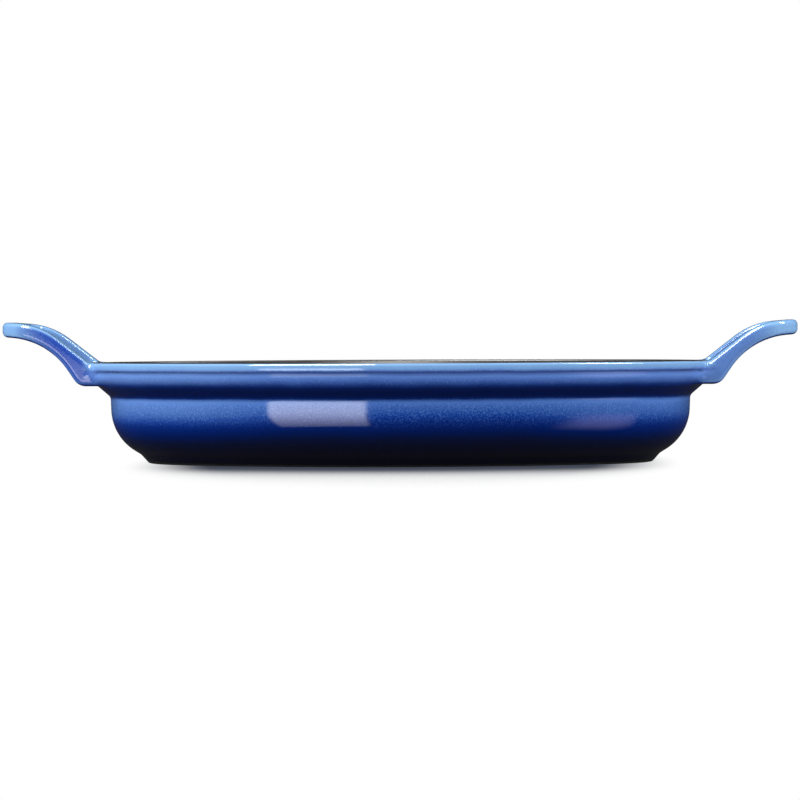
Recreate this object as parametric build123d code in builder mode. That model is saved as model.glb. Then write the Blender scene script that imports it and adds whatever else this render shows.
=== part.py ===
"""Oval gratin dish in enamelled cast iron, with a loop handle cast on each end.

Millimetres, +Z up, +X along the length. The origin is the centre of the foot, on the surface
that the dish stands on.
"""
from build123d import *
from math import atan2, cos, degrees, radians, sin, tan
import os

# Plan of the rim, an oval of four tangent arcs
rim_half_length = 180.7
rim_half_width = 121.0
end_radius = 95.0

# Heights of the outside above the surface that the dish stands on
rim_height = 57.7
crease_height = 52.9
band_knee_height = 48.6
band_foot_height = 44.2
belly_height = 15.2
plinth_height = 4.9
foot_recess = 2.0

# Distances of the outside in from the rim
crease_inset = 2.3
band_knee_inset = 3.5
band_foot_inset = 6.7
wall_inset = 15.2
plinth_inset = 31.7
foot_inset = 36.1
foot_ring_width = 8.6
foot_ring_slope = 2.5
neck_angle = 38.0

# Rounding of the outside, foot to rim
foot_radius = 2.0
plinth_radius = 3.0
belly_radius = 28.5
neck_radius = 7.0
band_foot_radius = 1.8
band_knee_radius = 8.0
crease_radius = 1.2
bead_radius = 1.2
bead_top_radius = 1.5
foot_inner_radius = 1.0

# Wall, floor and inside
wall = 4.4
floor_thickness = 5.0
land_width = 6.0
lip_radius = 1.2
inner_knee_inset = 10.2
inner_knee_radius = 4.0
inner_shelf_radius = 6.0
floor_radius = 18.0
floor_joint_inset = 50.0

# Enamel coats
coat = 0.4
bare_foot_height = 0.9
land_coat_inset = 1.6

# Loop handle from the side: heights, and reach outwards from the end of the rim
handle_reach = 45.9
handle_thickness = 8.6
handle_foot_height = 44.6
handle_foot_reach = 0.9
handle_foot_radius = 8.0
handle_bend_reach = 18.9
handle_bend_height = 70.8
handle_bend_radius = 42.0
handle_tip_height = 81.2
handle_root_height = 55.2
handle_saddle_reach = -7.9
handle_saddle_radius = 14.0
handle_crest_reach = 23.0
handle_crest_height = 79.2
handle_crest_radius = 43.0

# Loop handle from above
handle_root_half_width = 38.0
handle_tip_half_width = 34.0
handle_leg_width = 14.0
handle_bar_width = 13.5
handle_corner_radius = 18.0
handle_hole_radius = 8.0
handle_hole_inset = 9.7
handle_root_inset = 17.7
handle_flare_width = 17.5
handle_flare_length = 13.0
handle_flare_radius = 30.0
handle_edge_radius = 4.0

# Largest angle, in degrees, between two faces that still run smoothly into each other
seam_angle = 5

os.makedirs("parts", exist_ok=True)

# Values that follow from the driving dimensions
end_centre = rim_half_length - end_radius
side_radius = (end_centre**2 + rim_half_width**2 - end_radius**2) / (2 * (rim_half_width - end_radius))
side_centre = side_radius - rim_half_width
meeting_angle = degrees(atan2(side_centre, end_centre))
neck_slope = tan(radians(neck_angle))
neck_height = band_foot_height - (wall_inset - band_foot_inset) * neck_slope
belly_slope = (belly_height - plinth_height) / (plinth_inset - wall_inset)
inner_wall_inset = wall_inset + wall
floor_height = foot_recess + floor_thickness
foot_inner_inset = foot_inset + foot_ring_width
recess_inset = foot_inner_inset + foot_ring_slope
lip_inset = land_coat_inset + land_width

# Each arc of the rim, anticlockwise: its centre, radius, first angle and sweep
rim_arcs = [
    ((end_centre, 0), end_radius, -meeting_angle, 2 * meeting_angle),
    ((0, -side_centre), side_radius, meeting_angle, 180 - 2 * meeting_angle),
    ((-end_centre, 0), end_radius, 180 - meeting_angle, 2 * meeting_angle),
    ((0, side_centre), side_radius, 180 + meeting_angle, 180 - 2 * meeting_angle),
]


def shelf_height(inset):
    """Height of the inside over the sloping underside of the band, at a distance from the rim."""
    outside = neck_height + (wall_inset - inset) * neck_slope
    return outside + wall / cos(radians(neck_angle))


def belly_inner_height(inset):
    """Height of the inside over the slope of the belly, at a distance from the rim."""
    outside = belly_height - (inset - wall_inset) * belly_slope
    return outside + wall / cos(atan2(belly_slope, 1))


floor_inset = wall_inset + (belly_inner_height(wall_inset) - floor_height) / belly_slope

# Corners of the wall's section, with x as the distance out from the rim, and their radii
outside_corners = [
    (-foot_inset, 0),
    (-plinth_inset, plinth_height),
    (-wall_inset, belly_height),
    (-wall_inset, neck_height),
    (-band_foot_inset, band_foot_height),
    (-band_knee_inset, band_knee_height),
    (-crease_inset, crease_height),
    (0, crease_height),
    (0, rim_height),
]
outside_radii = [
    foot_radius,
    plinth_radius,
    belly_radius,
    neck_radius,
    band_foot_radius,
    band_knee_radius,
    crease_radius,
    bead_radius,
    bead_top_radius,
]
inside_corners = [
    (-lip_inset, rim_height),
    (-inner_knee_inset, shelf_height(inner_knee_inset)),
    (-inner_wall_inset, shelf_height(inner_wall_inset)),
    (-inner_wall_inset, belly_inner_height(inner_wall_inset)),
    (-floor_inset, floor_height),
]
inside_radii = [lip_radius, inner_knee_radius, inner_shelf_radius, belly_radius - wall, floor_radius]
underside_corners = [(-recess_inset, foot_recess), (-foot_inner_inset, 0)]
underside_radii = [foot_inner_radius, foot_inner_radius]


def point_at_height(start, end, height):
    """Point at a height on the straight line between two corners."""
    share = (height - start[1]) / (end[1] - start[1])
    return (start[0] + share * (end[0] - start[0]), height)


def filled(corners, radii):
    """Face inside a closed outline with rounded corners."""
    with BuildSketch() as face:
        with BuildLine():
            FilletPolyline(corners, radius=radii, close=True)
        make_face()
    return face.sketch


def coat_under(corners, radii):
    """Section of a coat that lies just inside an open outline with rounded corners."""
    with BuildSketch() as section:
        with BuildLine():
            FilletPolyline(corners, radius=radii)
            offset(amount=coat, side=Side.LEFT, closed=True, mode=Mode.REPLACE)
        make_face()
    return section.sketch


def ring(section):
    """Turn a section round the rim, arc by arc, into one solid."""
    with BuildPart() as turned:
        for centre, radius, first_angle, sweep_angle in rim_arcs:
            out_x = cos(radians(first_angle))
            out_y = sin(radians(first_angle))
            rim_point = (centre[0] + radius * out_x, centre[1] + radius * out_y, 0)
            with BuildSketch(Plane(rim_point, x_dir=(out_x, out_y, 0), z_dir=(out_y, -out_x, 0))):
                add(section)
            revolve(axis=Axis((*centre, 0), (0, 0, 1)), revolution_arc=sweep_angle)
    return turned.part


def oval_plate(inset, bottom, top):
    """Flat oval plate that follows the rim at a distance in from it."""
    with BuildPart() as plate:
        with BuildSketch(Plane.XY.offset(bottom)):
            with BuildLine():
                for centre, radius, first_angle, sweep_angle in rim_arcs:
                    CenterArc(centre, radius - inset, first_angle, sweep_angle)
            make_face()
        extrude(amount=top - bottom)
    return plate.part


def sharp_edges(solid):
    """Edges at which two faces meet at an angle, without the seams inside a smooth surface."""

    def is_sharp(edge):
        beside = [face.normal_at(edge @ 0.5) for face in solid.faces() if edge in face.edges()]
        return beside[0].get_angle(beside[1]) > seam_angle

    return solid.edges().filter_by(is_sharp)


def loop_handle(skin):
    """Handle on the +X end, whole from inside the wall to its tip, less a skin all over."""
    tip = rim_half_length + handle_reach
    root = rim_half_length - handle_root_inset
    flare = root - handle_flare_length
    with BuildPart() as loop:
        with BuildSketch(Plane.XZ):
            with BuildLine():
                profile = FilletPolyline(
                    (flare, handle_foot_height),
                    (rim_half_length + handle_foot_reach, handle_foot_height),
                    (rim_half_length + handle_bend_reach, handle_bend_height),
                    (tip, handle_tip_height - handle_thickness),
                    (tip, handle_tip_height),
                    (rim_half_length + handle_crest_reach, handle_crest_height),
                    (rim_half_length + handle_saddle_reach, handle_root_height),
                    (flare, handle_root_height),
                    radius=[
                        handle_foot_radius,
                        handle_bend_radius,
                        0,
                        0,
                        handle_crest_radius,
                        handle_saddle_radius,
                    ],
                )
                Line(profile @ 1, profile @ 0)
            make_face()
            offset(amount=-skin, kind=Kind.INTERSECTION)
        extrude(amount=rim_half_width, both=True)
        with BuildSketch():
            with BuildLine():
                outline = FilletPolyline(
                    (flare, -handle_root_half_width - handle_flare_width),
                    (root, -handle_root_half_width),
                    (tip, -handle_tip_half_width),
                    (tip, handle_tip_half_width),
                    (root, handle_root_half_width),
                    (flare, handle_root_half_width + handle_flare_width),
                    radius=[
                        handle_flare_radius,
                        handle_corner_radius,
                        handle_corner_radius,
                        handle_flare_radius,
                    ],
                )
                Line(outline @ 1, outline @ 0)
            make_face()
            with BuildLine():
                FilletPolyline(
                    (rim_half_length - handle_hole_inset, handle_leg_width - handle_root_half_width),
                    (tip - handle_bar_width, handle_leg_width - handle_tip_half_width),
                    (tip - handle_bar_width, handle_tip_half_width - handle_leg_width),
                    (rim_half_length - handle_hole_inset, handle_root_half_width - handle_leg_width),
                    radius=handle_hole_radius,
                    close=True,
                )
            make_face(mode=Mode.SUBTRACT)
            offset(amount=-skin, kind=Kind.INTERSECTION)
        extrude(amount=2 * handle_tip_height, mode=Mode.INTERSECT)
        outer_edges = sharp_edges(loop.part).filter_by(lambda edge: edge.center().X > root)
        fillet(outer_edges, handle_edge_radius - skin)
    return loop.part


# Turns that carry the handle of the +X end to each end
no_turn = (0, 0, 0)
half_turn = (0, 0, 180)

# Sections through the wall: all of it, each coat, and the iron that they leave
whole_section = filled(
    outside_corners
    + inside_corners
    + [(-floor_joint_inset, floor_height), (-floor_joint_inset, foot_recess)]
    + underside_corners,
    outside_radii + inside_radii + [0, 0] + underside_radii,
)
exterior_section = coat_under(
    [
        point_at_height(outside_corners[0], outside_corners[1], bare_foot_height),
        *outside_corners[1:],
        (-land_coat_inset, rim_height),
    ],
    outside_radii[1:],
)
interior_section = coat_under(
    [(lip_radius - lip_inset, rim_height), *inside_corners, (-floor_joint_inset, floor_height)],
    inside_radii,
)
base_section = coat_under(
    [
        (-floor_joint_inset, foot_recess),
        underside_corners[0],
        point_at_height(underside_corners[0], underside_corners[1], bare_foot_height),
    ],
    underside_radii[:1],
)
with BuildSketch() as rim_section:
    with Locations((-land_coat_inset, rim_height)):
        Rectangle(lip_inset - lip_radius - land_coat_inset, coat, align=(Align.MAX, Align.MAX))
with BuildSketch() as iron_section:
    add(whole_section)
    for coat_section in (exterior_section, rim_section.sketch, interior_section, base_section):
        add(coat_section, mode=Mode.SUBTRACT)

def end_block(skin):
    """Solid of the bowl's end out to a skin's depth under its outside."""
    with BuildPart() as block:
        with BuildSketch(Plane((rim_half_length, 0, 0), x_dir=(1, 0, 0), z_dir=(0, -1, 0))):
            with BuildLine():
                FilletPolyline(
                    [*outside_corners, (-end_radius, rim_height), (-end_radius, 0)],
                    radius=[*outside_radii, 0, 0],
                    close=True,
                )
            make_face()
            offset(amount=-skin, kind=Kind.INTERSECTION)
        revolve(axis=Axis((end_centre, 0, 0), (0, 0, 1)))
    return block.part


# Cast body: floor, belly, flared band, rim and the bare ring that it stands on
with BuildPart() as iron_bowl:
    add(ring(iron_section.sketch))
    add(oval_plate(floor_joint_inset, foot_recess + coat, floor_height - coat))
iron_bowl.part.label = "iron_bowl"
export_step(iron_bowl.part, "parts/iron_bowl.step")

# Cast loop handles, from the outside of the iron wall to their tips
iron_loop = loop_handle(coat)
with BuildPart() as iron_handle_right:
    add(iron_loop)
    add(end_block(coat), mode=Mode.SUBTRACT)
iron_handle_right.part.label = "iron_handle_right"
export_step(iron_handle_right.part, "parts/iron_handle_right.step")

with BuildPart() as iron_handle_left:
    add(iron_handle_right.part, rotation=half_turn)
iron_handle_left.part.label = "iron_handle_left"
export_step(iron_handle_left.part, "parts/iron_handle_left.step")

# Glossy coat over the outside of the bowl and all round both handles
with BuildPart() as handle_coat:
    add(loop_handle(0))
    add(end_block(coat / 2), mode=Mode.SUBTRACT)
with BuildPart() as exterior_enamel:
    add(ring(exterior_section))
    for turn in (no_turn, half_turn):
        add(handle_coat.part, rotation=turn)
        add(iron_loop, rotation=turn, mode=Mode.SUBTRACT)
exterior_enamel.part.label = "exterior_enamel"
export_step(exterior_enamel.part, "parts/exterior_enamel.step")

# Matte coat on the flat land of the rim
with BuildPart() as rim_enamel:
    add(ring(rim_section.sketch))
rim_enamel.part.label = "rim_enamel"
export_step(rim_enamel.part, "parts/rim_enamel.step")

# Satin coat over the lip, the inside of the wall and the floor
with BuildPart() as interior_enamel:
    add(ring(interior_section))
    add(oval_plate(floor_joint_inset, floor_height - coat, floor_height))
interior_enamel.part.label = "interior_enamel"
export_step(interior_enamel.part, "parts/interior_enamel.step")

# Coat in the hollow underside, inside the foot ring
with BuildPart() as base_enamel:
    add(ring(base_section))
    add(oval_plate(floor_joint_inset, foot_recess, foot_recess + coat))
base_enamel.part.label = "base_enamel"
export_step(base_enamel.part, "parts/base_enamel.step")
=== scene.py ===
"""Oval gratin dish in blue enamelled cast iron: enamel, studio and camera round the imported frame."""
import logging
import math
from dataclasses import dataclass
from enum import Enum

import bpy
import numpy as np
from mathutils import Matrix, Vector


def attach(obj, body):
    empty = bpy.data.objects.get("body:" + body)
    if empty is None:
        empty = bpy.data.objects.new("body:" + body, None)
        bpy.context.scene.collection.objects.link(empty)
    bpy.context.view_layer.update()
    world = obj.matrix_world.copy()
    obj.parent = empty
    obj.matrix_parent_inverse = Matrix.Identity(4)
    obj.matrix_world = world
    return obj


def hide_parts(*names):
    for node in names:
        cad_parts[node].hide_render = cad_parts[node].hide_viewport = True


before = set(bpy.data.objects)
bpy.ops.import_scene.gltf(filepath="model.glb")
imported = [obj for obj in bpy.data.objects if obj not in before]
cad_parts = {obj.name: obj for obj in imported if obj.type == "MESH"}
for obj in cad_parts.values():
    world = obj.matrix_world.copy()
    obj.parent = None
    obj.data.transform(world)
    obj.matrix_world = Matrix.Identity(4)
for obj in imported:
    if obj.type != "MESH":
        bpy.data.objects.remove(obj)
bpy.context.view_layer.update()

MM = 0.001
MM_PER_METRE = 1000.0
BURIED_RADIUS = 1.0
Pair = tuple[float, float]
Triple = tuple[float, float, float]
log = logging.getLogger("gratin_dish")


class Slot(Enum):
    """Material slots of the record."""

    IRON = "cast_iron"
    OUTSIDE = "gloss_enamel"
    LAND = "matte_enamel"
    INSIDE = "satin_enamel"
    BASE = "base_enamel"


class Wire:
    """An output socket of a node tree that takes part in arithmetic."""

    def __init__(self, graph: "Graph", socket: bpy.types.NodeSocket) -> None:
        """Keep the graph and the socket that a value comes from."""
        self.graph = graph
        self.socket = socket

    def _math(self, operation: str, first: object, second: object, clamp: bool = False) -> "Wire":
        """Add a Math node on two values or wires."""
        return self.graph.node(
            "ShaderNodeMath", {"operation": operation, "use_clamp": clamp}, {0: first, 1: second}
        )

    def __add__(self, other: object) -> "Wire":
        """Sum."""
        return self._math("ADD", self, other)

    __radd__ = __add__

    def __sub__(self, other: object) -> "Wire":
        """Difference."""
        return self._math("SUBTRACT", self, other)

    def __rsub__(self, other: object) -> "Wire":
        """Difference from a number."""
        return self._math("SUBTRACT", other, self)

    def __mul__(self, other: object) -> "Wire":
        """Product."""
        return self._math("MULTIPLY", self, other)

    __rmul__ = __mul__

    def __truediv__(self, other: object) -> "Wire":
        """Quotient."""
        return self._math("DIVIDE", self, other)

    def __pow__(self, other: object) -> "Wire":
        """Power."""
        return self._math("POWER", self, other)

    def clamped(self) -> "Wire":
        """The value held between 0 and 1."""
        return self._math("ADD", self, 0.0, clamp=True)

    def smooth(self, low: float, high: float) -> "Wire":
        """0 below low, 1 above high and smooth between.

        Args:
            low: Value at which the result leaves 0.
            high: Value at which the result reaches 1.

        Returns:
            The smoothed step.
        """
        return self.graph.node(
            "ShaderNodeMapRange",
            {"interpolation_type": "SMOOTHSTEP"},
            {"Value": self, "From Min": low, "From Max": high},
        )


class Graph:
    """A node tree that is written as Python calls."""

    def __init__(self, tree: bpy.types.NodeTree) -> None:
        """Take over an empty or fresh tree."""
        self.tree = tree
        tree.nodes.clear()

    def node(self, kind: str, settings: dict | None = None, inputs: dict | None = None,
             output: object = 0) -> Wire:
        """Add a node.

        Args:
            kind: Blender's name of the node type.
            settings: Attributes that are set first. A list under "stops" fills a colour ramp.
            inputs: Values or wires by the socket's name or number.
            output: Name or number of the output that is returned.

        Returns:
            The chosen output as a wire.
        """
        made = self.tree.nodes.new(kind)
        for key, value in (settings or {}).items():
            if key == "stops":
                self._fill_ramp(made.color_ramp, value)
            else:
                setattr(made, key, value)
        for key, value in (inputs or {}).items():
            if isinstance(value, Wire):
                self.tree.links.new(value.socket, made.inputs[key])
            else:
                made.inputs[key].default_value = value
        return Wire(self, made.outputs[output]) if len(made.outputs) else None

    @staticmethod
    def _fill_ramp(ramp: bpy.types.ColorRamp, stops: list) -> None:
        """Replace a ramp's stops.

        Args:
            ramp: Ramp of a fresh node.
            stops: Pairs of position and colour, in order.
        """
        while len(ramp.elements) > 1:
            ramp.elements.remove(ramp.elements[-1])
        for number, (position, colour) in enumerate(stops):
            stop = ramp.elements[0] if number == 0 else ramp.elements.new(position)
            stop.position = position
            stop.color = (*colour, 1.0)

    def mix(self, share: object, first: object, second: object) -> Wire:
        """Mix two colours.

        Args:
            share: Part of the second colour.
            first: Colour or wire at share 0.
            second: Colour or wire at share 1.

        Returns:
            The mixed colour.
        """
        first = (*first, 1.0) if isinstance(first, tuple) else first
        second = (*second, 1.0) if isinstance(second, tuple) else second
        return self.node(
            "ShaderNodeMix", {"data_type": "RGBA"}, {0: share, 6: first, 7: second}, output=2
        )

    def position(self) -> Wire:
        """Object coordinates."""
        return self.node("ShaderNodeTexCoord", output="Object")

    def axis(self, number: int) -> Wire:
        """One of the object coordinates, in metres."""
        return self.node("ShaderNodeSeparateXYZ", inputs={0: self.position()}, output=number)

    def attribute(self, name: str) -> Wire:
        """Value of an attribute of the mesh."""
        return self.node("ShaderNodeAttribute", {"attribute_name": name}, output="Fac")

    def ray(self, kind: str) -> Wire:
        """1 for rays of one kind, and 0 for all others."""
        return self.node("ShaderNodeLightPath", output=kind)

    def noise(self, size_mm: float, detail: float = 2.0, roughness: float = 0.5) -> Wire:
        """Fractal noise about 0.5.

        Args:
            size_mm: Size of the lumps.
            detail: Number of finer layers.
            roughness: How strong the finer layers are.

        Returns:
            The noise.
        """
        return self.node(
            "ShaderNodeTexNoise", {},
            {"Vector": self.position(), "Scale": MM_PER_METRE / size_mm, "Detail": detail,
             "Roughness": roughness},
        )

    def bump(self, height: Wire, depth_mm: float) -> Wire:
        """Normal of a surface with relief of a depth in millimetres."""
        return self.node(
            "ShaderNodeBump", {}, {"Height": height, "Distance": depth_mm * MM, "Strength": 1.0}
        )


def srgb(red: float, green: float, blue: float) -> Triple:
    """Linear colour of an 8-bit display colour."""
    def linear(value: float) -> float:
        """Linear value of one channel."""
        value = value / 255.0
        return value / 12.92 if value <= 0.04045 else ((value + 0.055) / 1.055) ** 2.4
    return (linear(red), linear(green), linear(blue))


def ramp(values: np.ndarray, start: float, width: float) -> np.ndarray:
    """0 up to start, 1 from start plus width on, and a straight line between."""
    return np.clip((values - start) / width, 0.0, 1.0)


def eased(share: float | np.ndarray) -> float | np.ndarray:
    """Smooth step of a share between 0 and 1."""
    return share * share * (3.0 - 2.0 * share)


def unit(vectors: np.ndarray) -> np.ndarray:
    """Rows of vectors, each at length 1."""
    return vectors / np.linalg.norm(vectors, axis=1)[:, None]


def node_material(name: str) -> tuple[bpy.types.Material, Graph]:
    """New material, and its empty graph."""
    made = bpy.data.materials.new(name)
    made.use_nodes = True
    return made, Graph(made.node_tree)


def add_object(name: str, data: bpy.types.ID) -> bpy.types.Object:
    """New object in the scene."""
    made = bpy.data.objects.new(name, data)
    bpy.context.scene.collection.objects.link(made)
    return made


@dataclass(frozen=True)
class Finish:
    """Surface finish that becomes one material."""

    name: str
    roughness: float
    ior: float = 1.5

    def material(self) -> bpy.types.Material:
        """Build the material.

        Returns:
            The material, with this finish's nodes.
        """
        made, graph = node_material(self.name)
        inputs = {"Roughness": self.roughness, "IOR": self.ior, **self.surface(graph)}
        shader = graph.node("ShaderNodeBsdfPrincipled", {}, inputs)
        graph.node("ShaderNodeOutputMaterial", {}, {"Surface": shader})
        return made

    def surface(self, graph: Graph) -> dict[str, object]:
        """Shader inputs that this finish sets."""
        return {}


@dataclass(frozen=True)
class BlueGlaze(Finish):
    """Glossy enamel, sprayed from light blue at the rim to near black at the foot, with painted shade in
    the neck under the band and in the crease, a painted highlight on the shoulder below the neck,
    painted light towards both ends, and painted light and shade on the handles.

    Zones are heights, or places along the dish, between which a smooth step runs.
    """

    top_mm: float = 60.0
    left_end_mm: Pair = (45.0, 125.0)
    right_end_mm: Pair = (55.0, 130.0)
    left_painted_light_lift_mm: float = 3.2
    right_painted_light_lift_mm: float = 2.4
    painted_light_lift_zone_mm: Pair = (26.0, 36.0)
    drift_mm: float = 24.0
    drift_reach_mm: float = 1.6
    speckle_mm: float = 0.85
    speckle_reach_mm: float = 6.8
    speckle_rest_mm: float = 1.4
    speckle_low_mm: Pair = (14.0, 24.0)
    speckle_high_mm: Pair = (33.0, 38.0)
    pale: Triple = srgb(140, 182, 232)
    left_end_painted_light: float = 0.17
    right_end_painted_light: float = 0.06
    painted_light_zone_mm: Pair = (22.0, 34.0)
    speckle_pale: float = 0.6
    speckle_pale_zone_mm: Pair = (20.0, 30.0)
    neck_low_mm: Pair = (36.5, 38.2)
    neck_high_mm: Pair = (45.0, 48.0)
    # Handle colours for the painted light and shade: deep blue, light blue where painted light falls,
    # and near black for painted shade under the handles.
    handle_deep: Triple = srgb(34, 68, 164)
    handle_light: Triple = srgb(130, 174, 222)
    handle_painted_shade: Triple = srgb(18, 22, 58)
    handle_speckle: float = 0.25
    handle_drift: float = 0.15
    handle_roughness: float = 0.05
    peel_mm: float = 9.0
    peel_depth_mm: float = 0.006
    # The stops fall from light blue at the rim to near black at the foot. The dark stops from 38.2 to
    # 44.2 mm are painted shade in the neck under the band, the dip at 53.0 mm is painted shade in the
    # crease, and the light stop at 36.0 mm is a painted highlight on the shoulder.
    stops: tuple = (
        (0.0, (12, 12, 28)), (6.0, (12, 13, 32)), (12.0, (12, 17, 44)), (16.0, (8, 20, 58)),
        (19.5, (0, 24, 84)), (22.5, (1, 30, 102)), (25.5, (5, 40, 118)), (28.5, (16, 58, 144)),
        (31.0, (42, 82, 162)), (33.5, (58, 98, 176)), (36.0, (78, 120, 200)), (37.2, (56, 94, 170)),
        (38.2, (10, 40, 106)), (39.4, (2, 24, 84)), (42.0, (2, 22, 76)), (44.2, (6, 30, 92)),
        (45.6, (26, 56, 128)), (47.5, (62, 97, 178)), (50.6, (96, 136, 214)), (52.2, (80, 112, 188)),
        (53.0, (58, 88, 166)), (53.8, (92, 124, 194)), (54.8, (108, 152, 206)), (58.0, (134, 176, 220)),
    )

    def surface(self, graph: Graph) -> dict[str, object]:
        """Colour by height with a fine sprayed speckle and a faint orange peel, with painted light at
        the ends and painted light and shade on the handles.

        Args:
            graph: Nodes of the material.

        Returns:
            The shader inputs that the glaze sets.
        """
        along, height = graph.axis(0) * MM_PER_METRE, graph.axis(2) * MM_PER_METRE
        left, right = (0.0 - along).smooth(*self.left_end_mm), along.smooth(*self.right_end_mm)
        speckle = graph.noise(self.speckle_mm, roughness=0.6) - 0.5
        drift = graph.noise(self.drift_mm) - 0.5
        zone = height.smooth(*self.speckle_low_mm) * (1.0 - height.smooth(*self.speckle_high_mm))
        low = 1.0 - height.smooth(*self.painted_light_lift_zone_mm)
        # Painted light: on the lower wall the colour is lifted up the ramp towards both ends, more at
        # the left end.
        level = height + (left * self.left_painted_light_lift_mm + right * self.right_painted_light_lift_mm) * low
        level = level + speckle * (zone * self.speckle_reach_mm + self.speckle_rest_mm)
        level = level + drift * self.drift_reach_mm
        body = graph.node(
            "ShaderNodeValToRGB",
            {"stops": [(level_mm / self.top_mm, srgb(*colour)) for level_mm, colour in self.stops]},
            {"Fac": level / self.top_mm},
        )
        off_neck = 1.0 - height.smooth(*self.neck_low_mm) + height.smooth(*self.neck_high_mm)
        # Painted light: pale blue is mixed in towards both ends, more at the left end, and kept off the
        # neck.
        pale = (left * self.left_end_painted_light + right * self.right_end_painted_light) * height.smooth(*self.painted_light_zone_mm)
        dots = (speckle * self.speckle_pale).clamped() * height.smooth(*self.speckle_pale_zone_mm)
        body = graph.mix((pale * off_neck + dots * off_neck).clamped(), body, self.pale)
        # Painted light and shade on the handles: their lightness attribute mixes deep blue towards light
        # blue, and below 0 towards near black.
        painted_lightness, on_handle = graph.attribute("painted_lightness"), graph.attribute("on_handle")
        light = (painted_lightness + speckle * self.handle_speckle + drift * self.handle_drift).clamped()
        loop = graph.mix(light, self.handle_deep, self.handle_light)
        loop = graph.mix((0.0 - painted_lightness).clamped(), loop, self.handle_painted_shade)
        peel = graph.noise(self.peel_mm, detail=1.0, roughness=0.4)
        return {
            "Base Color": graph.mix(on_handle, body, loop),
            "Roughness": on_handle * self.handle_roughness + self.roughness,
            "Normal": graph.bump(peel, self.peel_depth_mm),
        }


@dataclass(frozen=True)
class BlackEnamel(Finish):
    """Black or dark enamel of slightly uneven colour and gloss."""

    colour: Triple = (0.03, 0.03, 0.03)
    worn: Triple = (0.05, 0.05, 0.05)
    cloud_mm: float = 18.0
    worn_from: Pair = (0.35, 0.75)
    cloud_gloss: float = 0.08
    grain_mm: float = 0.6
    grain_gloss: float = 0.04

    def surface(self, graph: Graph) -> dict[str, object]:
        """Cloudy colour and gloss with a fine grain.

        Args:
            graph: Nodes of the material.

        Returns:
            The shader inputs that the enamel sets.
        """
        grain = graph.noise(self.grain_mm, roughness=0.6) - 0.5
        cloud = graph.noise(self.cloud_mm, detail=3.0, roughness=0.6)
        uneven = (cloud - 0.5) * self.cloud_gloss + grain * self.grain_gloss
        return {
            "Base Color": graph.mix(cloud.smooth(*self.worn_from), self.colour, self.worn),
            "Roughness": uneven + self.roughness,
        }


@dataclass(frozen=True)
class CastIron(Finish):
    """Bare cast iron, ground on the foot ring."""

    dark: Triple = (0.07, 0.066, 0.063)
    bright: Triple = (0.17, 0.16, 0.15)
    metallic: float = 0.7
    cloud_mm: float = 10.0
    grain_mm: float = 0.5
    grain_depth_mm: float = 0.03

    def surface(self, graph: Graph) -> dict[str, object]:
        """Grey iron with a sandy grain.

        Args:
            graph: Nodes of the material.

        Returns:
            The shader inputs that the iron sets.
        """
        cloud = graph.noise(self.cloud_mm, detail=3.0, roughness=0.6)
        grain = graph.noise(self.grain_mm, detail=3.0, roughness=0.7)
        return {
            "Base Color": graph.mix(cloud, self.dark, self.bright),
            "Metallic": self.metallic,
            "Normal": graph.bump(grain, self.grain_depth_mm),
        }


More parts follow.
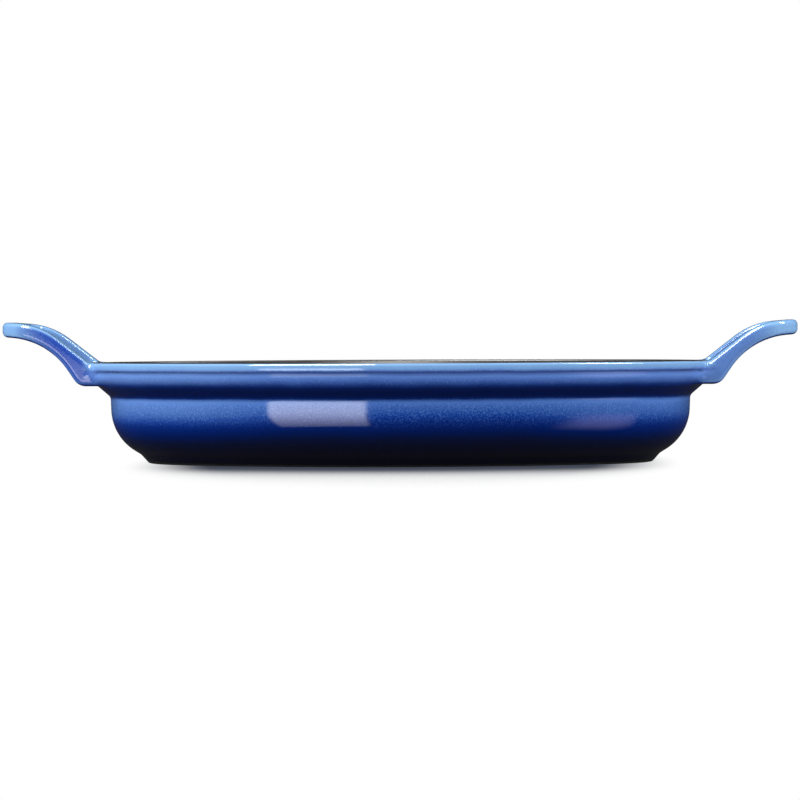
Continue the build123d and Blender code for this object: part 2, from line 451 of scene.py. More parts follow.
class Outline:
    """Outline of straight lines and tangent arcs, with exact signed distances."""

    def __init__(self, corners: list, radii: list, closed: bool = True) -> None:
        """Round the corners of a polygon.

        Args:
            corners: Corners, anticlockwise where the outline is closed.
            radii: Rounding of each corner, or of each inner corner of an open line.
            closed: Whether the last corner runs back to the first.
        """
        points = [np.array(corner, float) for corner in corners]
        if not closed:
            radii = [0.0, *radii, 0.0]
        self.closed = closed
        self.arcs: list = []
        self.lines: list = []
        cuts = []
        for number, corner in enumerate(points):
            before, after = points[number - 1], points[(number + 1) % len(points)]
            radius = radii[number]
            if radius <= 0 or (not closed and number in (0, len(points) - 1)):
                cuts.append((corner, corner, None))
                continue
            incoming = (corner - before) / np.linalg.norm(corner - before)
            outgoing = (after - corner) / np.linalg.norm(after - corner)
            cross = incoming[0] * outgoing[1] - incoming[1] * outgoing[0]
            turn = math.acos(max(-1.0, min(1.0, float(incoming @ outgoing))))
            reach = radius * math.tan(turn / 2.0)
            side = 1.0 if cross > 0 else -1.0
            start, end = corner - incoming * reach, corner + outgoing * reach
            centre = start + side * radius * np.array([-incoming[1], incoming[0]])
            self.arcs.append((centre, radius, side, start, end, turn))
            cuts.append((start, end, self.arcs[-1]))
        count = len(points)
        for number in range(count if closed else count - 1):
            self.lines.append((cuts[number][1], cuts[(number + 1) % count][0]))
        self.cuts = cuts

    def distance(self, across: np.ndarray, up: np.ndarray) -> np.ndarray:
        """Signed distance to the outline, negative inside.

        Args:
            across: First coordinate of each point.
            up: Second coordinate of each point.

        Returns:
            The distances.
        """
        best = np.full(across.shape, np.inf)
        signed = np.full(across.shape, np.inf)
        for start, end in self.lines:
            along = end - start
            length = float(np.hypot(*along))
            if length < 1e-9:
                continue
            along = along / length
            rx, ry = across - start[0], up - start[1]
            t = np.clip(rx * along[0] + ry * along[1], 0.0, length)
            dx, dy = rx - t * along[0], ry - t * along[1]
            gap = np.hypot(dx, dy)
            cross = along[0] * ry - along[1] * rx
            nearer = gap < best
            best = np.where(nearer, gap, best)
            signed = np.where(nearer, np.where(cross > 0, -gap, gap), signed)
        for centre, radius, side, start, end, turn in self.arcs:
            middle = (start + end) / 2.0 - centre
            middle = middle / np.linalg.norm(middle)
            dx, dy = across - centre[0], up - centre[1]
            far = np.hypot(dx, dy)
            within = dx * middle[0] + dy * middle[1] >= far * math.cos(turn / 2.0) - 1e-12
            gap = np.where(within, np.abs(far - radius), np.inf)
            nearer = gap <= best
            best = np.where(nearer, gap, best)
            signed = np.where(nearer, side * (far - radius), signed)
        return signed

    def points(self, step: float, arc_step: float) -> np.ndarray:
        """Points along the outline.

        Args:
            step: Longest straight stretch between points.
            arc_step: Largest turn between points on an arc, in degrees.

        Returns:
            The points, in order.
        """
        found: list = []

        def put(point: np.ndarray) -> None:
            """Add a point unless it repeats the last one."""
            if not found or np.linalg.norm(point - found[-1]) > 1e-6:
                found.append(np.array(point, float))

        for number, (start, end, arc) in enumerate(self.cuts):
            put(start)
            if arc is not None:
                centre, radius, side, _, _, turn = arc
                first = math.atan2(*(start - centre)[::-1])
                by_turn, by_length = math.degrees(turn) / arc_step, radius * turn / step
                pieces = max(2, math.ceil(by_turn), math.ceil(by_length))
                for piece in range(1, pieces + 1):
                    angle = first + side * turn * piece / pieces
                    put(centre + radius * np.array([math.cos(angle), math.sin(angle)]))
            if number < len(self.lines):
                a, b = self.lines[number]
                pieces = max(1, math.ceil(np.linalg.norm(b - a) / step))
                for piece in range(1, pieces + 1):
                    put(a + (b - a) * piece / pieces)
        if self.closed and np.linalg.norm(found[0] - found[-1]) < 1e-6:
            found.pop()
        return np.array(found)


@dataclass
class Rim:
    """Plan of the rim, an oval of four tangent arcs, in millimetres."""

    half_length: float = 180.7
    half_width: float = 121.0
    end_radius: float = 95.0
    fine_step: float = 1.25
    coarse_step: float = 3.0

    def __post_init__(self) -> None:
        """Work out the centres and radii of the arcs."""
        self.end_centre = self.half_length - self.end_radius
        self.side_radius = (self.end_centre**2 + self.half_width**2 - self.end_radius**2) / (
            2.0 * (self.half_width - self.end_radius)
        )
        self.side_centre = self.side_radius - self.half_width
        self.meeting = math.atan2(self.side_centre, self.end_centre)

    def outward(self, p: np.ndarray) -> np.ndarray:
        """Level distance of points out from the rim.

        Args:
            p: Points in millimetres.

        Returns:
            The distances, negative inside the rim.
        """
        ax, ay = np.abs(p[:, 0]), np.abs(p[:, 1])
        at_side = np.arctan2(ay + self.side_centre, ax) > self.meeting
        cx = np.where(at_side, 0.0, self.end_centre)
        cy = np.where(at_side, -self.side_centre, 0.0)
        radius = np.where(at_side, self.side_radius, self.end_radius)
        return np.maximum(np.hypot(ax - cx, ay - cy), 1e-9) - radius

    def stations(self) -> np.ndarray:
        """Points once round the rim, closer together where the handles stand.

        Returns:
            The points, anticlockwise.
        """
        end = (self.end_radius, 2 * self.meeting, self.fine_step)
        side = (self.side_radius, math.pi - 2 * self.meeting, self.coarse_step)
        arcs = [
            (self.end_centre, 0.0, -self.meeting, end),
            (0.0, -self.side_centre, self.meeting, side),
            (-self.end_centre, 0.0, math.pi - self.meeting, end),
            (0.0, self.side_centre, math.pi + self.meeting, side),
        ]
        points = []
        for cx, cy, first, (radius, sweep, step) in arcs:
            pieces = math.ceil(radius * sweep / step)
            for piece in range(pieces):
                angle = first + sweep * piece / pieces
                points.append((cx + radius * math.cos(angle), cy + radius * math.sin(angle), 0.0))
        return np.array(points)


@dataclass
class Wall:
    """Outside of the wall in section: distance out from the rim, and height, in millimetres."""

    corners: tuple = (
        (-36.1, 0.0), (-31.7, 4.9), (-15.2, 15.2), (-14.3, 38.0), (-7.0, 44.3), (-3.5, 48.6),
        (-2.3, 52.9), (0.0, 52.9), (0.0, 57.7),
    )
    radii: tuple = (2.0, 3.0, 28.5, 3.5, 1.8, 8.0, 0.7, 1.5, 1.5)
    depth: float = 70.0
    coat: float = 0.4
    bare_foot: float = 0.9
    land_inset: float = 1.6
    outer_steps: Pair = (1.4, 9.0)
    inner_steps: Pair = (4.0, 20.0)

    def solid(self) -> Outline:
        """Outside of the wall as a closed outline."""
        inside = [(-self.depth, self.corners[-1][1]), (-self.depth, 0.0)]
        return Outline([*self.corners, *inside], [*self.radii, BURIED_RADIUS, BURIED_RADIUS])

    def coat_section(self) -> np.ndarray:
        """Closed section of the outside coat, from the foot up to the land.

        Returns:
            Points of the section, with fewer of them on its hidden inner side.
        """
        (x0, z0), (x1, z1) = self.corners[:2]
        share = (self.bare_foot - z0) / (z1 - z0)
        start = (x0 + share * (x1 - x0), self.bare_foot)
        end = (-self.land_inset, self.corners[-1][1])
        line = Outline([start, *self.corners[1:], end], list(self.radii[1:]), closed=False)
        coarse = line.points(*self.inner_steps)
        tangent = unit(np.gradient(coarse, axis=0))
        tangent[-1] = (-1.0, 0.0)
        inner = coarse + self.coat * np.stack([-tangent[:, 1], tangent[:, 0]], 1)
        return np.concatenate([line.points(*self.outer_steps), inner[::-1]])


@dataclass
class Loop:
    """Loop handle on an end: its side view and its plan, in millimetres, out from the end of the rim."""

    reach: float = 45.9
    beyond: float = 15.0
    thickness: float = 8.6
    side_under: tuple = ((0.9, 44.6), (18.9, 70.8))
    side_over: tuple = ((23.0, 79.2), (-7.9, 55.2))
    tip_height: float = 81.2
    under_radii: tuple = (8.0, 42.0)
    over_radii: tuple = (43.0, 14.0)
    root_half_width: float = 38.0
    tip_half_width: float = 34.0
    leg_width: float = 14.0
    bar_width: float = 13.5
    corner_radius: float = 18.0
    hole_radius: float = 8.0
    hole_inset: float = 9.7
    root_inset: float = 17.7
    flare_width: float = 17.5
    flare_length: float = 13.0
    flare_radius: float = 30.0
    edge_radius: float = 3.1
    hole_edge_radius: float = 2.2
    blend: float = 7.0
    blend_top: float = 2.4
    blend_under: float = 2.0
    blend_height: float = 49.0
    blend_rise: float = 7.5
    blend_drop: float = 4.5

    def side_view(self, end: float) -> Outline:
        """Side view of the handle, carried on past the tip.

        Args:
            end: Place of the rim's end along the dish.

        Returns:
            The closed outline in length and height.
        """
        (fx, fz), (bx, bz) = self.side_under
        (cx, cz), (sx, sz) = self.side_over
        root, cut = end - self.root_inset - self.flare_length, end + self.reach + self.beyond
        under = self.tip_height - self.thickness
        low = under + (under - bz) * self.beyond / (self.reach - bx)
        high = self.tip_height + (self.tip_height - cz) * self.beyond / (self.reach - cx)
        return Outline(
            [(root, fz), (end + fx, fz), (end + bx, bz), (cut, low),
             (cut, high), (end + cx, cz), (end + sx, sz), (root, sz)],
            [BURIED_RADIUS, *self.under_radii, BURIED_RADIUS,
             BURIED_RADIUS, *self.over_radii, BURIED_RADIUS],
        )

    def plan(self, end: float) -> tuple[Outline, Outline]:
        """The handle from above.

        Args:
            end: Place of the rim's end along the dish.

        Returns:
            The closed outlines of the handle and of its finger hole.
        """
        tip, root = end + self.reach, end - self.root_inset
        flare = root - self.flare_length
        wide = self.root_half_width + self.flare_width
        half = [(flare, wide), (root, self.root_half_width), (tip, self.tip_half_width)]
        radii = [BURIED_RADIUS, self.flare_radius, self.corner_radius]
        outer = Outline([*((x, -y) for x, y in half), *half[::-1]], [*radii, *radii[::-1]])
        inner_x, bar_x = end - self.hole_inset, tip - self.bar_width
        near, far = self.root_half_width - self.leg_width, self.tip_half_width - self.leg_width
        hole = [(inner_x, -near), (bar_x, -far), (bar_x, far), (inner_x, near)]
        return outer, Outline(hole, [self.hole_radius] * 4)


class OutsideShape:
    """Outer surface of the dish: wall and loop handles run into each other as one casting."""

    def __init__(self, rim: Rim, wall: Wall, loop: Loop) -> None:
        """Prepare the outlines that the surface follows."""
        self.rim, self.wall, self.loop = rim, wall, loop
        self.section = wall.solid()
        self.side = loop.side_view(rim.half_length)
        self.outer, self.hole = loop.plan(rim.half_length)

    def from_wall(self, p: np.ndarray) -> np.ndarray:
        """Signed distance of each point from the outside of the wall."""
        return self.section.distance(self.rim.outward(p), p[:, 2])

    def from_loop(self, p: np.ndarray) -> np.ndarray:
        """Signed distance of each point from the handle on its end, with rounded edges.

        Args:
            p: Points in millimetres.

        Returns:
            The distances, negative inside.
        """
        x = np.abs(p[:, 0])
        side = self.side.distance(x, p[:, 2])
        outer, hole = self.outer.distance(x, p[:, 1]), -self.hole.distance(x, p[:, 1])
        plan = np.maximum(outer, hole)
        r = np.where(outer > hole, self.loop.edge_radius, self.loop.hole_edge_radius)
        inside = np.minimum(np.maximum(side, plan), -r)
        return inside + np.hypot(np.maximum(side + r, 0.0), np.maximum(plan + r, 0.0))

    def blend_width(self, p: np.ndarray) -> np.ndarray:
        """Width of the blend between wall and handle, tight under the handle and at the rim's top.

        Args:
            p: Points in millimetres.

        Returns:
            The widths.
        """
        loop, z = self.loop, p[:, 2]
        rise = eased(ramp(z, loop.blend_height, loop.blend_rise))
        drop = eased(ramp(-z, -loop.blend_height, loop.blend_drop))
        side = loop.blend * (1.0 - rise) + loop.blend_top * rise
        return side * (1.0 - drop) + loop.blend_under * drop

    def value(self, p: np.ndarray) -> np.ndarray:
        """Signed distance of each point from the blended surface."""
        wall, loop, k = self.from_wall(p), self.from_loop(p), self.blend_width(p)
        h = np.maximum(k - np.abs(wall - loop), 0.0) / k
        return np.minimum(wall, loop) - h * h * k * 0.25

    def slope(self, p: np.ndarray, step: float = 0.02) -> np.ndarray:
        """Gradient of the blended distance.

        Args:
            p: Points in millimetres.
            step: How far on each side the distance is taken.

        Returns:
            The gradient at each point.
        """
        parts = []
        for axis in range(3):
            shift = np.zeros(3)
            shift[axis] = step
            parts.append((self.value(p + shift) - self.value(p - shift)) / (2.0 * step))
        return np.stack(parts, 1)

    def settle(self, p: np.ndarray, rounds: int = 4, least_square: float = 0.2) -> np.ndarray:
        """Move points onto the blended surface.

        Args:
            p: Points near the surface.
            rounds: Number of Newton steps.
            least_square: Least squared gradient that a step is divided by.

        Returns:
            The moved points.
        """
        for _ in range(rounds):
            gradient = self.slope(p)
            square = np.maximum((gradient**2).sum(1), least_square)
            p = p - (self.value(p) / square)[:, None] * gradient
        return p


def shifted(node: np.ndarray, back: dict, cells: tuple) -> tuple[np.ndarray, np.ndarray]:
    """Cells that lie back from nodes along some axes, and which of them are in the grid."""
    cell = node.copy()
    for axis, count in back.items():
        cell[:, axis] -= count
    return cell, ((cell >= 0) & (cell < np.array(cells))).all(1)


def surface_net(values: np.ndarray, low: np.ndarray, step: float) -> tuple[np.ndarray, np.ndarray]:
    """Quad mesh of the zero surface of a field on a grid.

    Args:
        values: Field at the grid's nodes, negative inside.
        low: Lowest corner of the grid.
        step: Distance between nodes.

    Returns:
        Vertices and quads, with faces outwards.
    """
    inside = values < 0.0
    cells = tuple(size - 1 for size in values.shape)
    total = np.zeros((*cells, 3))
    count = np.zeros(cells)
    crossings = []
    for axis in range(3):
        a = np.moveaxis(values, axis, 0)
        s = np.moveaxis(inside, axis, 0)
        where = np.argwhere(s[:-1] != s[1:])
        first, second = a[:-1][tuple(where.T)], a[1:][tuple(where.T)]
        share = first / (first - second)
        order = [axis, *[other for other in range(3) if other != axis]]
        node = np.zeros_like(where)
        for place, real in enumerate(order):
            node[:, real] = where[:, place]
        point = node.astype(float)
        point[:, axis] += share
        crossings.append((axis, node, s[:-1][tuple(where.T)]))
        b, c = [other for other in range(3) if other != axis]
        for db, dc in ((0, 0), (0, 1), (1, 0), (1, 1)):
            cell, ok = shifted(node, {b: db, c: dc}, cells)
            index = tuple(cell[ok].T)
            np.add.at(total, index, point[ok])
            np.add.at(count, index, 1.0)
    used = count > 0
    number = -np.ones(cells, int)
    number[used] = np.arange(used.sum())
    vertices = low + step * (total[used] / count[used][:, None])
    quads = []
    for axis, node, starts_inside in crossings:
        b, c = (axis + 1) % 3, (axis + 2) % 3
        ring = [shifted(node, {b: db, c: dc}, cells) for db, dc in ((0, 0), (1, 0), (1, 1), (0, 1))]
        ok = np.all([in_grid for _, in_grid in ring], axis=0)
        quad = np.stack([number[tuple(cell[ok].T)] for cell, _ in ring], 1)
        flip = ~starts_inside[ok]
        quad[flip] = quad[flip][:, ::-1]
        quads.append(quad)
    return vertices, np.concatenate(quads)


def compacted(count: int, faces: np.ndarray) -> tuple[np.ndarray, np.ndarray]:
    """Numbers of the points that faces use, out of a count, and the faces renumbered to match."""
    used = np.unique(faces)
    index = -np.ones(count, int)
    index[used] = np.arange(len(used))
    return used, index[faces]


class Sweep:
    """Geometry node tree that carries a closed section round the rim."""

    def __init__(self) -> None:
        """Build the tree once."""
        self.tree = bpy.data.node_groups.new("section_round_the_rim", "GeometryNodeTree")
        face = self.tree.interface
        keys = {
            name: face.new_socket(name, in_out="INPUT", socket_type=f"NodeSocket{kind}").identifier
            for name, kind in (("Section", "Geometry"), ("Rim", "Object"), ("Finish", "Material"))
        }
        self.path, self.finish = keys["Rim"], keys["Finish"]
        face.new_socket("Geometry", in_out="OUTPUT", socket_type="NodeSocketGeometry")
        graph = Graph(self.tree)
        outputs = graph.node("NodeGroupInput").socket.node.outputs
        wire = {name: Wire(graph, outputs[name]) for name in keys}
        rim = graph.node("GeometryNodeObjectInfo", {}, {"Object": wire["Rim"]}, output="Geometry")
        rim = graph.node("GeometryNodeMeshToCurve", {}, {"Mesh": rim})
        rim = graph.node("GeometryNodeSetCurveNormal", {"mode": "Z_UP"}, {"Curve": rim})
        section = graph.node("GeometryNodeMeshToCurve", {}, {"Mesh": wire["Section"]})
        swept = graph.node("GeometryNodeCurveToMesh", {}, {"Curve": rim, "Profile Curve": section})
        swept = graph.node("GeometryNodeSetShadeSmooth", {}, {"Geometry": swept})
        swept = graph.node("GeometryNodeRealizeInstances", {}, {"Geometry": swept})
        swept = graph.node(
            "GeometryNodeSetMaterial", {}, {"Geometry": swept, "Material": wire["Finish"]}
        )
        graph.node("NodeGroupOutput", {}, {"Geometry": swept})

    def run(self, rim: bpy.types.Object, section: np.ndarray,
            finish: bpy.types.Material) -> bpy.types.Mesh:
        """Sweep one closed section.

        Args:
            rim: Closed line of the rim.
            section: Points of the section: distance out from the rim, and height.
            finish: Material of the result.

        Returns:
            The swept mesh, in metres.
        """
        flat = np.column_stack([section * (1.0, -1.0), np.zeros(len(section))])
        holder = line_object("section", flat * MM)
        modifier = holder.modifiers.new("sweep", "NODES")
        modifier.node_group = self.tree
        modifier[self.path] = rim
        modifier[self.finish] = finish
        bpy.context.view_layer.update()
        evaluated = holder.evaluated_get(bpy.context.evaluated_depsgraph_get())
        mesh = bpy.data.meshes.new_from_object(evaluated)
        bpy.data.objects.remove(holder)
        return mesh


def line_object(name: str, points: np.ndarray) -> bpy.types.Object:
    """Closed line through points, as a mesh of edges.

    Args:
        name: Name of the object.
        points: Points in metres, in order.

    Returns:
        The object.
    """
    mesh = bpy.data.meshes.new(name)
    count = len(points)
    edges = [(number, (number + 1) % count) for number in range(count)]
    mesh.from_pydata([tuple(point) for point in points], edges, [])
    return add_object(name, mesh)


@dataclass(frozen=True)
class PaintedHandleLight:
    """Painted light and shade on the handles: how light the blue is, 0 deep blue and 1 light blue. It is
    lighter where a handle faces up or a little down, at the tips, on the far leg of the left handle and
    all over the right handle, and near black where it faces well down.

    A pair is the start and the width of a ramp. It runs over millimetres, or for up, below and the
    underside shade over how far the surface faces up or down.
    """

    fade: Pair = (0.0, 7.0)
    tip: Pair = (196.0, 22.0)
    tip_painted_light: float = 0.8
    up: Pair = (0.45, 0.35)
    below: Pair = (0.2, 0.3)
    low_facing_painted_light: float = 0.25
    painted_underside_shade: Pair = (0.62, 0.22)
    back: Pair = (4.0, 8.0)
    far_leg_painted_light: float = 0.6
    left_handle_painted_light: float = 0.04
    right_handle_painted_light: float = 0.42

    def values(self, away: np.ndarray, points: np.ndarray, normals: np.ndarray) -> dict:
        """What the glaze's material reads at each point.

        Args:
            away: Distance of each point from the wall.
            points: Points in millimetres.
            normals: Normal at each point.

        Returns:
            on_handle, 0 on the wall and 1 on a handle, and the handles' painted lightness, or -1 in
            their painted underside shade.
        """
        x, y, facing = points[:, 0], points[:, 1], normals[:, 2]
        tip, up = ramp(np.abs(x), *self.tip), eased(ramp(facing, *self.up))
        below, painted_underside_shade = ramp(-facing, *self.below), ramp(-facing, *self.painted_underside_shade)
        # Painted light: the far leg of the left handle, the whole right handle, faces turned up or a
        # little down, and the tips are lighter.
        back = ramp(y, *self.back) * self.far_leg_painted_light
        plain = np.where(x < 0.0, np.maximum(self.left_handle_painted_light, back), self.right_handle_painted_light)
        lit = plain + up + self.tip_painted_light * tip * tip + self.low_facing_painted_light * below
        # Painted shade: faces turned well down go towards near black.
        painted_lightness = np.clip(lit, 0.0, 1.0) * (1.0 - painted_underside_shade) - painted_underside_shade
        return {"on_handle": eased(ramp(away, *self.fade)), "painted_lightness": painted_lightness}


@dataclass
class Glaze:
    """The outside coat: wall and both loop handles in one skin, in millimetres."""

    rim: Rim
    wall: Wall
    loop: Loop
    painted_handle_light: PaintedHandleLight
    grid_step: float = 0.78
    grid_start: float = 146.0
    grid_half_width: float = 64.3
    grid_heights: Pair = (36.2, 84.5)
    grid_margin: float = 3.0
    relax_rounds: int = 3
    root_zone: Triple = (140.0, 80.0, 34.0)
    skin_depth: float = 0.1
    probe: float = 0.05
    clear_gap: float = 0.4
    land_overlap: float = 0.1
    land_level: float = 56.0
    least_rise: float = 0.004
    seam_rise: float = 0.15
    seam_sink: float = 0.04

    def __post_init__(self) -> None:
        """Prepare the blended shape."""
        self.shape = OutsideShape(self.rim, self.wall, self.loop)

    def swept_wall(self, finish: bpy.types.Material) -> tuple[np.ndarray, np.ndarray, np.ndarray]:
        """Coat of the wall all round, without the handles.

        Args:
            finish: Material of the glaze.

        Returns:
            Points, faces and normals, facing outwards.
        """
        rim_line = line_object("rim_line", self.rim.stations() * MM)
        mesh = Sweep().run(rim_line, self.wall.coat_section(), finish)
        bpy.data.objects.remove(rim_line)
        points, normals = np.zeros((2, len(mesh.vertices) * 3))
        mesh.vertices.foreach_get("co", points)
        mesh.vertex_normals.foreach_get("vector", normals)
        points, normals = points.reshape(-1, 3) / MM, normals.reshape(-1, 3)
        faces = np.array([tuple(face.vertices) for face in mesh.polygons])
        a, b, c, d = (points[faces[:, corner]] for corner in range(4))
        centre = points[faces].mean(1)
        lifted = self.shape.from_wall(centre + self.probe * unit(np.cross(c - a, d - b)))
        here = self.shape.from_wall(centre)
        outer = here > -self.wall.coat / 2.0
        if np.mean(lifted[outer] > here[outer]) < 0.5:
            faces, normals = faces[:, ::-1], -normals
        return points, faces, normals

    def wall_skin(self, finish: bpy.types.Material) -> tuple[np.ndarray, np.ndarray, np.ndarray]:
        """Coat of the wall, drawn up into the handles' roots, and open under them.

        Args:
            finish: Material of the glaze.

        Returns:
            Points, faces and normals.
        """
        points, faces, normals = self.swept_wall(finish)
        x, y, z = points.T
        start, half_width, level = self.root_zone
        near = (np.abs(x) > start) & (np.abs(y) < half_width) & (z > level)
        chosen = np.flatnonzero(near & (self.shape.from_wall(points) > -self.skin_depth))
        gap = self.shape.from_loop(points[chosen])
        reach = gap < self.shape.blend_width(points[chosen])
        chosen, gap = chosen[reach], gap[reach]
        target = chosen[gap > self.clear_gap]
        points[target] = self.shape.settle(points[target])
        normals[target] = unit(self.shape.slope(points[target]))
        rise = np.zeros(len(points))
        rise[chosen] = np.inf
        rise[target] = self.shape.from_wall(points[target])
        return points, faces[rise[faces].min(1) < self.seam_rise], normals

    def handle_skin(self) -> tuple[np.ndarray, np.ndarray, np.ndarray]:
        """Skin of the handle on the +X end, with the skirt that slips under the wall's.

        Returns:
            Points, faces and normals.
        """
        low = np.array([self.grid_start, -self.grid_half_width, self.grid_heights[0]])
        end = self.rim.half_length + self.loop.reach + self.grid_margin
        high = (end, self.grid_half_width, self.grid_heights[1])
        sizes = [np.arange(low[i], high[i], self.grid_step) for i in range(3)]
        nodes = np.stack(np.meshgrid(*sizes, indexing="ij"), -1)
        values = self.shape.value(nodes.reshape(-1, 3)).reshape(nodes.shape[:3])
        points, quads = surface_net(values, low, self.grid_step)
        for _ in range(self.relax_rounds):
            points = self.shape.settle(self._relaxed(points, quads), rounds=2)
        points = self.shape.settle(points, rounds=3)
        rise = self.shape.from_wall(points)
        inner = self.rim.outward(points) < self.land_overlap - self.wall.land_inset
        on_land = inner & (points[:, 2] > self.land_level)
        kept = (rise[quads].max(1) > self.least_rise) & ~on_land[quads].any(1)
        normals = unit(self.shape.slope(points))
        sink = self.seam_sink * (1.0 - ramp(rise, self.seam_rise, self.seam_rise))
        used, faces = compacted(len(points), quads[kept])
        return (points - normals * sink[:, None])[used], faces, normals[used]

    @staticmethod
    def _relaxed(points: np.ndarray, quads: np.ndarray) -> np.ndarray:
        """Points moved half way to the middle of their faces' corners.

        Args:
            points: Points of a mesh.
            quads: Its faces.

        Returns:
            The moved points.
        """
        total = np.zeros_like(points)
        count = np.zeros(len(points))
        middle = points[quads].mean(1)
        for corner in range(4):
            np.add.at(total, quads[:, corner], middle)
            np.add.at(count, quads[:, corner], 1.0)
        return 0.5 * points + 0.5 * total / np.maximum(count, 1.0)[:, None]

    def build(self, finish: bpy.types.Material) -> bpy.types.Object:
        """Join the wall's skin and both handles' into the finished piece.

        Args:
            finish: Material of the glaze.

        Returns:
            The finished object.
        """
        skin, skin_faces, skin_normals = self.wall_skin(finish)
        loop, loop_faces, loop_normals = self.handle_skin()
        half_turn = np.array([-1.0, -1.0, 1.0])
        points = np.concatenate([skin, loop, loop * half_turn])
        normals = np.concatenate([skin_normals, loop_normals, loop_normals * half_turn])
        first, second = len(skin), len(skin) + len(loop)
        faces = np.concatenate([skin_faces, loop_faces + first, loop_faces + second])
        used, faces = compacted(len(points), faces)
        points, normals = points[used], normals[used]
        mesh = bpy.data.meshes.new("glaze")
        mesh.from_pydata((points * MM).tolist(), [], faces.tolist())
        mesh.materials.append(finish)
        mesh.polygons.foreach_set("use_smooth", np.ones(len(mesh.polygons), bool))
        away = self.shape.from_wall(points)
        for name, values in self.painted_handle_light.values(away, points, normals).items():
            layer = mesh.attributes.new(name, "FLOAT", "POINT")
            layer.data.foreach_set("value", values.astype(np.float32))
        mesh.validate()
        mesh.normals_split_custom_set_from_vertices(normals.tolist())
        log.info("glaze: %d vertices, %d quads", len(points), len(faces))
        return add_object("glaze", mesh)


def reflected_object(name: str, mesh: bpy.types.Mesh, colour: tuple, glow: float | str) -> None:
    """Turn a mesh into a light of the stage that only reflections show.

    Args:
        name: Name of the object and its material.
        mesh: Its shape.
        colour: Colour of its light.
        glow: Its brightness, or the attribute of the mesh that holds it.
    """
    material, graph = node_material(name)
    strength = graph.attribute(glow) if isinstance(glow, str) else glow
    light = graph.node("ShaderNodeEmission", {}, {"Color": (*colour, 1.0), "Strength": strength})
    graph.node("ShaderNodeOutputMaterial", {}, {"Surface": light})
    material.cycles.emission_sampling = "FRONT_BACK"
    mesh.materials.append(material)
    made = add_object(name, mesh)
    made.visible_camera = made.visible_diffuse = made.visible_shadow = False


@dataclass(frozen=True)
class Card:
    """Bright card that only reflections show: its edges as directions from the dish, in degrees."""

    name: str
    azimuth: Pair
    elevation: Pair
    strength: float
    low_strength: float
    colour: Triple = (1.0, 1.0, 1.0)
    soft: float = 0.03
    distance: float = 2.6
    centre: float = 0.035
    steps: int = 24

    def edge(self, place: float) -> float:
        """Brightness at a place across the card, from 0 at an edge up to 1."""
        return eased(min(1.0, place / self.soft, (1.0 - place) / self.soft))

    def build(self) -> None:
        """Make the card as a piece of a sphere round the dish."""
        row = self.steps + 1
        places = [(j / self.steps, i / self.steps) for j in range(row) for i in range(row)]
        points, glow = [], []
        for up, across in places:
            elevation = math.radians(self.elevation[0] + (self.elevation[1] - self.elevation[0]) * up)
            azimuth = math.radians(self.azimuth[0] + (self.azimuth[1] - self.azimuth[0]) * across)
            points.append((
                self.distance * math.cos(elevation) * math.sin(azimuth),
                -self.distance * math.cos(elevation) * math.cos(azimuth),
                self.distance * math.sin(elevation) + self.centre,
            ))
            level = self.low_strength + (self.strength - self.low_strength) * up
            glow.append(level * self.edge(up) * self.edge(across))
        corners = [j * row + i for j in range(self.steps) for i in range(self.steps)]
        mesh = bpy.data.meshes.new(self.name)
        mesh.from_pydata(points, [], [(a, a + 1, a + row + 1, a + row) for a in corners])
        layer = mesh.attributes.new("glow", "FLOAT", "POINT")
        layer.data.foreach_set("value", np.array(glow, np.float32))
        reflected_object(self.name, mesh, self.colour, "glow")


@dataclass(frozen=True)
class Strip:
    """Bright strip over the dish that only reflections show, in metres."""

    name: str
    corners: tuple
    strength: float = 26.0
    height: float = 1.5

    def build(self) -> None:
        """Make the strip."""
        mesh = bpy.data.meshes.new(self.name)
        corners = [(*corner, self.height) for corner in self.corners]
        mesh.from_pydata(corners, [], [tuple(range(len(corners)))])
        reflected_object(self.name, mesh, (1.0, 1.0, 1.0), self.strength)


@dataclass(frozen=True)
class Lamp:
    """Soft square lamp that is aimed at the dish, in metres and watts."""

    name: str
    place: Triple
    size: float
    power: float
    gloss_on: tuple[str, ...] = ()

    def build(self) -> None:
        """Make the lamp.

        Reflections leave it out. One with nodes in gloss_on shows only in their reflections.
        """
        light = bpy.data.lights.new(self.name, "AREA")
        light.shape = "SQUARE"
        light.size = self.size
        light.energy = self.power
        made = add_object(self.name, light)
        made.location = self.place
        made.rotation_euler = Vector(self.place).to_track_quat("Z", "Y").to_euler()
        made.visible_glossy = bool(self.gloss_on)
        if self.gloss_on:
            made.visible_diffuse = False
            receivers = bpy.data.collections.new("inside_pieces")
            for node in self.gloss_on:
                receivers.objects.link(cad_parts[node])
            made.light_linking.receiver_collection = receivers


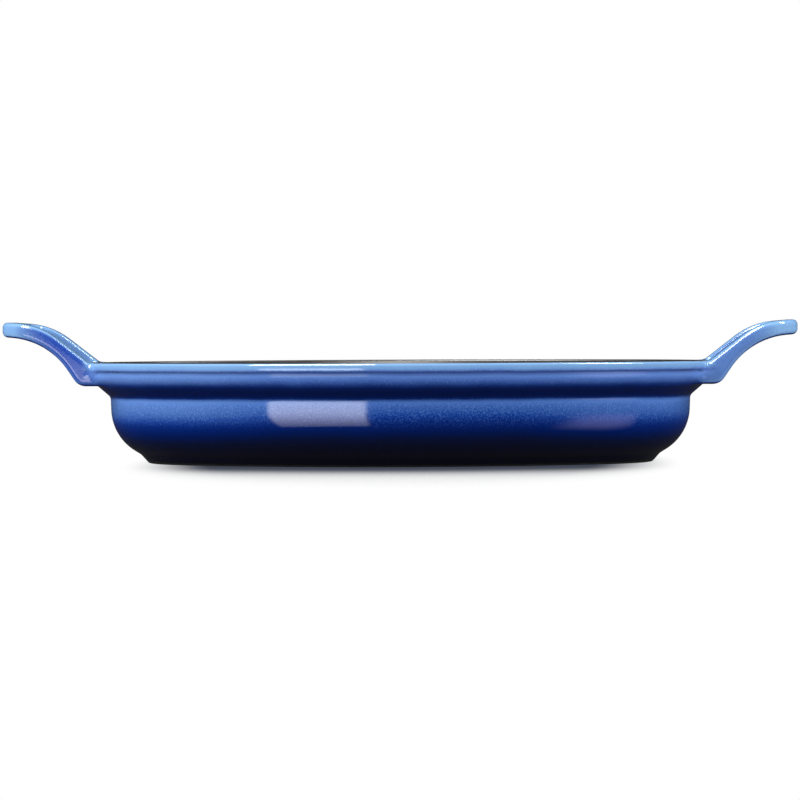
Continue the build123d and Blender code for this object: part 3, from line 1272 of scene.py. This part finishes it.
@dataclass
class Studio:
    """Floor, world, lamps and the cards that the glaze reflects, in metres."""

    ambient: float = 0.85
    reflected_world: float = 0.03
    floor_half: float = 30.0
    floor_grey: float = 0.4
    shadow_colour: Triple = srgb(64, 70, 84)
    shadow_reach: float = 0.55
    shadow_samples: int = 24
    shadow_power: float = 6.0
    shadow_centre: float = 0.002
    shadow_half: Pair = (0.182, 0.45)
    shadow_fade: Pair = (0.60, 0.88)
    lights: tuple = (
        Lamp("key_left", (-2.4, -1.1, 1.3), 1.4, 60.0),
        Lamp("key_right", (2.4, -0.9, 1.3), 1.4, 36.0),
        Lamp("top", (-0.3, 0.2, 2.6), 1.6, 22.0),
        Lamp("lip_light", (0.05, -2.6, 1.42), 1.0, 60.0, ("interior_enamel", "rim_enamel")),
        Card("softbox_left", (-39.0, -9.2), (-34.0, -0.2), 7.6, 1.0),
        Card("softbox_right", (46.0, 82.0), (-44.0, -3.0), 2.3, 1.5, (0.62, 0.6, 1.0), soft=0.4),
        Strip("overhead_left", ((-0.42, 0.35), (-0.10, 0.35), (-0.17, -1.1), (-1.25, -1.1))),
        Strip("overhead_right", ((0.52, 0.3), (0.85, 0.3), (1.8, -0.3), (1.15, -0.55))),
    )

    def floor(self) -> None:
        """Make the pale floor with a painted shadow of the dish: occlusion from the dish, shown to the
        camera as emission and held inside an ellipse round the dish.
        """
        half = self.floor_half
        mesh = bpy.data.meshes.new("floor")
        corners = [(-half, -half, 0), (half, -half, 0), (half, half, 0), (-half, half, 0)]
        mesh.from_pydata(corners, [], [(0, 1, 2, 3)])
        material, graph = node_material("floor")
        near = graph.node(
            "ShaderNodeAmbientOcclusion", {"samples": self.shadow_samples},
            {"Distance": self.shadow_reach}, output="AO",
        )
        # Painted shadow: the occlusion is raised to a power and faded out beyond an ellipse round the
        # dish's middle.
        along = (graph.axis(0) - self.shadow_centre) / self.shadow_half[0]
        away = (along ** 2.0 + (graph.axis(1) / self.shadow_half[1]) ** 2.0) ** 0.5
        shade = 1.0 - (1.0 - near ** self.shadow_power) * (1.0 - away.smooth(*self.shadow_fade))
        colour = graph.mix(shade, self.shadow_colour, (1.0, 1.0, 1.0))
        seen = graph.node("ShaderNodeEmission", {}, {"Color": colour})
        grey = (self.floor_grey, self.floor_grey, self.floor_grey, 1.0)
        plain = graph.node("ShaderNodeBsdfDiffuse", {}, {"Color": grey})
        mixed = graph.node("ShaderNodeMixShader", {}, {0: graph.ray("Is Camera Ray"), 1: plain, 2: seen})
        graph.node("ShaderNodeOutputMaterial", {}, {"Surface": mixed})
        mesh.materials.append(material)
        made = add_object("floor", mesh)
        made.visible_glossy = False

    def world(self) -> None:
        """White behind the dish, plain light on it, and dark surroundings in its reflections."""
        world = bpy.data.worlds.new("studio")
        world.use_nodes = True
        graph = Graph(world.node_tree)
        camera, glossy = graph.ray("Is Camera Ray"), graph.ray("Is Glossy Ray")
        diffuse = (1.0 - camera) * (1.0 - glossy)
        strength = diffuse * self.ambient + camera + glossy * self.reflected_world
        light = graph.node(
            "ShaderNodeBackground", {}, {"Color": (1.0, 1.0, 1.0, 1.0), "Strength": strength}
        )
        graph.node("ShaderNodeOutputWorld", {}, {"Surface": light})
        bpy.context.scene.world = world

    def build(self) -> None:
        """Set up the whole studio."""
        self.floor()
        self.world()
        for light in self.lights:
            light.build()


@dataclass
class View:
    """Camera at the photograph's viewing angle, in millimetres, degrees and pixels."""

    distance: float = 2200.0
    height: float = 78.7
    yaw: float = 1.4
    roll: float = 0.24
    scale: float = 1.74
    origin_row: float = 461.8
    centre_column: float = 400.2
    size: float = 800.0
    sensor: float = 36.0

    def build(self) -> None:
        """Make the camera and set it as the scene's."""
        focal = self.scale * self.distance
        yaw, roll = math.radians(self.yaw), math.radians(self.roll)
        lowered = math.atan2(self.origin_row - self.size / 2.0, focal)
        pitch = math.atan2(self.height, self.distance) - lowered
        right = Vector((math.cos(yaw), math.sin(yaw), 0.0))
        ahead = Vector((-math.sin(yaw), math.cos(yaw), 0.0))
        up = Vector((0.0, 0.0, 1.0))
        look = ahead * math.cos(pitch) - up * math.sin(pitch)
        top = up * math.cos(pitch) + ahead * math.sin(pitch)
        side = right * math.cos(roll) - top * math.sin(roll)
        top = right * math.sin(roll) + top * math.cos(roll)
        data = bpy.data.cameras.new("camera")
        data.sensor_width = self.sensor
        data.lens = focal * self.sensor / self.size
        data.shift_x = (self.size / 2.0 - self.centre_column) / self.size
        camera = add_object("camera", data)
        turn = Matrix((side, top, -look)).transposed().to_4x4()
        place = Vector((math.sin(yaw) * self.distance, -math.cos(yaw) * self.distance, self.height))
        camera.matrix_world = Matrix.Translation(place * MM) @ turn
        bpy.context.scene.camera = camera


def dress(node: str, finish: bpy.types.Material) -> None:
    """Give a CAD node its material.

    Args:
        node: Name of the node.
        finish: The material.
    """
    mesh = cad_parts[node].data
    mesh.materials.clear()
    mesh.materials.append(finish)
    log.info("%s: %s", node, finish.name)


def main() -> None:
    """Build the pieces, the studio and the camera."""
    logging.basicConfig(level=logging.INFO, format="%(message)s")
    bpy.context.scene.view_settings.view_transform = "Standard"
    View().build()
    finishes = {
        Slot.OUTSIDE: BlueGlaze("blue_glaze", 0.06),
        Slot.LAND: BlackEnamel(
            "matte_black", 0.5, colour=(0.045, 0.043, 0.042), worn=(0.07, 0.066, 0.064)
        ),
        Slot.INSIDE: BlackEnamel(
            "satin_black", 0.33, colour=(0.02, 0.02, 0.021), worn=(0.032, 0.031, 0.031)
        ),
        Slot.BASE: BlackEnamel("dark_base", 0.22, colour=srgb(14, 16, 34), worn=srgb(18, 21, 44)),
        Slot.IRON: CastIron("cast_iron", 0.55),
    }
    made = {slot: finish.material() for slot, finish in finishes.items()}
    glaze = Glaze(Rim(), Wall(), Loop(), PaintedHandleLight()).build(made[Slot.OUTSIDE])
    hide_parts("exterior_enamel")
    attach(glaze, "root")
    dress("rim_enamel", made[Slot.LAND])
    dress("interior_enamel", made[Slot.INSIDE])
    dress("base_enamel", made[Slot.BASE])
    for node in ("iron_bowl", "iron_handle_left", "iron_handle_right"):
        dress(node, made[Slot.IRON])
    Studio().build()


if __name__ == "__main__":
    main()
